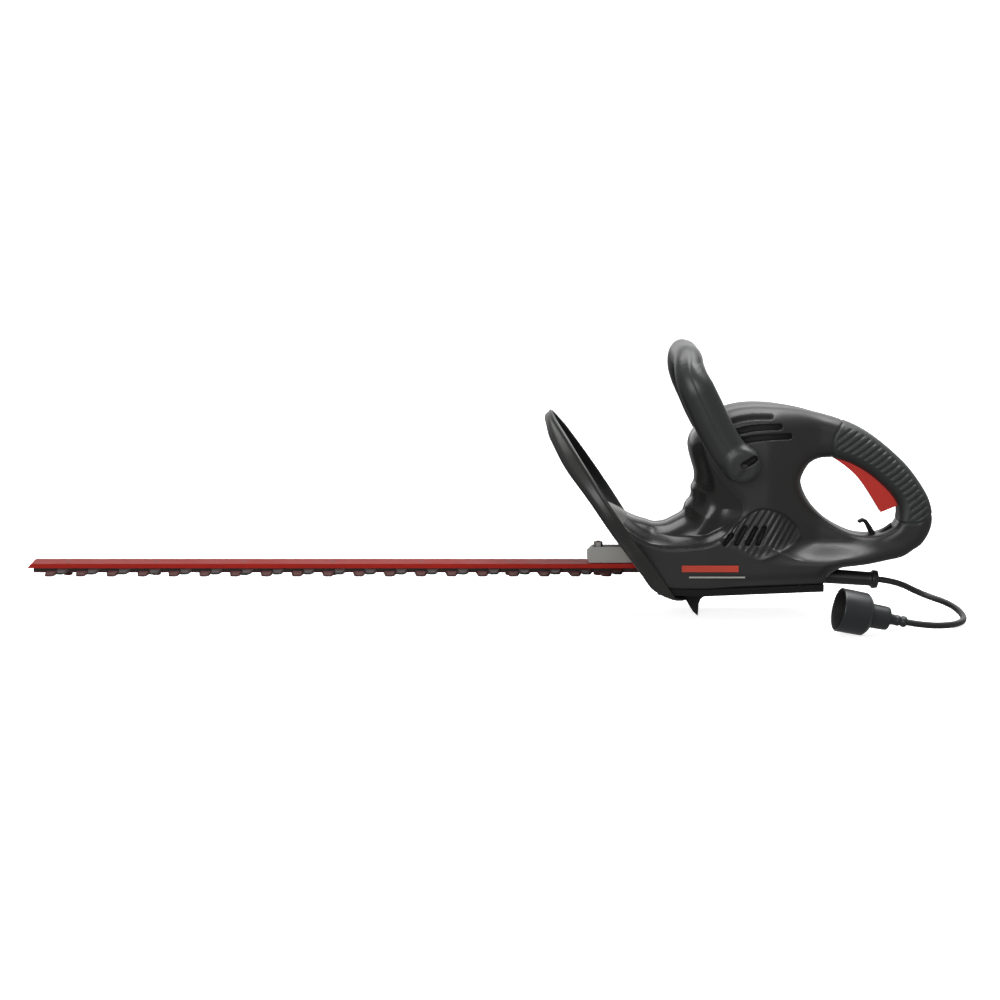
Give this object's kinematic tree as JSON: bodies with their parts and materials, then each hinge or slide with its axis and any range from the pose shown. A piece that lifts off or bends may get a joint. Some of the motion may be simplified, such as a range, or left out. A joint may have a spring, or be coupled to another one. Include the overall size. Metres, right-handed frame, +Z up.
{
  "type": "hedge trimmer",
  "caption": "Corded electric hedge trimmer with a long double-edged blade, hand guard, front bail handle and looped rear handle with a trigger.",
  "frame": {"origin": "on the floor under the middle of the tool, midway between the blade tip and the rear of the handle", "axes": "+X from the blade tip to the rear handle, +Y to the right of a user who faces along the blade, +Z up"},
  "size_m": [0.9359, 0.2113, 0.2765],
  "materials": {
    "housing": "fine texture",
    "grip": "matte",
    "guard": "satin",
    "handle": "fine texture",
    "cover": "matte",
    "bar": "satin red",
    "blade_dark": "blackened",
    "blade_red": "satin red",
    "hardware": "zinc plated",
    "bracket": "cast",
    "steel": "ground",
    "alloy": "cast",
    "copper": "bright",
    "carbon": "matte",
    "nylon": "moulded",
    "bush": "sintered",
    "trigger": "semi-gloss red",
    "cord": "satin",
    "plug": "satin",
    "prong": "bright"
  },
  "bodies": {
    "tool": {"support_bar": "bar", "blade_bolts": "hardware", "blade_washers": "hardware", "blade_spacers": "hardware", "bracket_nut": "hardware", "blade_bracket": "bracket", "lower_motor_bearing": "steel", "upper_motor_bearing": "steel", "crank_bushes": "bush", "motor_stator": "steel", "field_coils": "copper", "carbon_brushes": "carbon", "brush_holders": "bush", "motor_mounts": "nylon", "bearing_plate": "alloy", "gear_case": "alloy", "gear_case_lid": "alloy", "gear_case_screws": "hardware", "housing_left": "housing", "rear_grip_left": "grip", "housing_right": "housing", "rear_grip_right": "grip", "housing_screws": "hardware", "bottom_cover": "cover", "bottom_cover_screws": "hardware", "hand_guard": "guard", "guard_screws": "hardware", "front_handle_front": "handle", "front_handle_rear": "handle", "front_handle_screws": "hardware", "trigger_pin": "steel", "trigger_spring": "steel", "switch_body": "carbon", "cord_hook": "cover", "strain_relief": "cord", "cord": "cord", "plug_body": "plug", "plug_shroud": "plug", "plug_prongs": "prong"},
    "armature": {"armature_core": "steel", "armature_windings": "copper", "commutator": "copper", "motor_shaft": "steel", "cooling_fan": "nylon"},
    "crank": {"drive_gear": "steel", "gear_shaft": "steel", "eccentrics": "steel"},
    "upper_blade": {"upper_blade": "blade_dark"},
    "lower_blade": {"lower_blade": "blade_red"},
    "trigger": {"trigger": "trigger"},
    "switch_plunger": {"switch_plunger": "nylon"}
  },
  "joints": [
    {"name": "armature_spin", "type": "hinge", "parent": "tool", "child": "armature", "pos_m": [0.266, 0, 0.12], "axis": [0, 0, 1], "continuous": true},
    {"name": "crank_spin", "type": "hinge", "parent": "tool", "child": "crank", "pos_m": [0.231, 0, 0.059], "axis": [0, 0, 1], "continuous": true},
    {"name": "upper_blade_slide", "type": "slide", "parent": "tool", "child": "upper_blade", "axis": [1, 0, 0], "range_m": [-0.0056, 0.0024]},
    {"name": "lower_blade_slide", "type": "slide", "parent": "tool", "child": "lower_blade", "axis": [1, 0, 0], "range_m": [-0.0024, 0.0056]},
    {"name": "trigger_hinge", "type": "hinge", "parent": "tool", "child": "trigger", "pos_m": [0.353, 0, 0.166], "axis": [0, -1, 0], "range_deg": [0, 8], "stiffness_Nm_per_rad": 1, "springref_deg": -3.44},
    {"name": "plunger_slide", "type": "slide", "parent": "tool", "child": "switch_plunger", "axis": [0, 0, 1], "range_m": [0, 0.0029]}
  ],
  "couplings": [
    {"joint": "crank_spin", "follows": "armature_spin", "ratio": -0.16667},
    {"joint": "lower_blade_slide", "follows": "upper_blade_slide", "ratio": -1},
    {"joint": "plunger_slide", "follows": "trigger_hinge", "m_per_rad": 0.02}
  ]
}
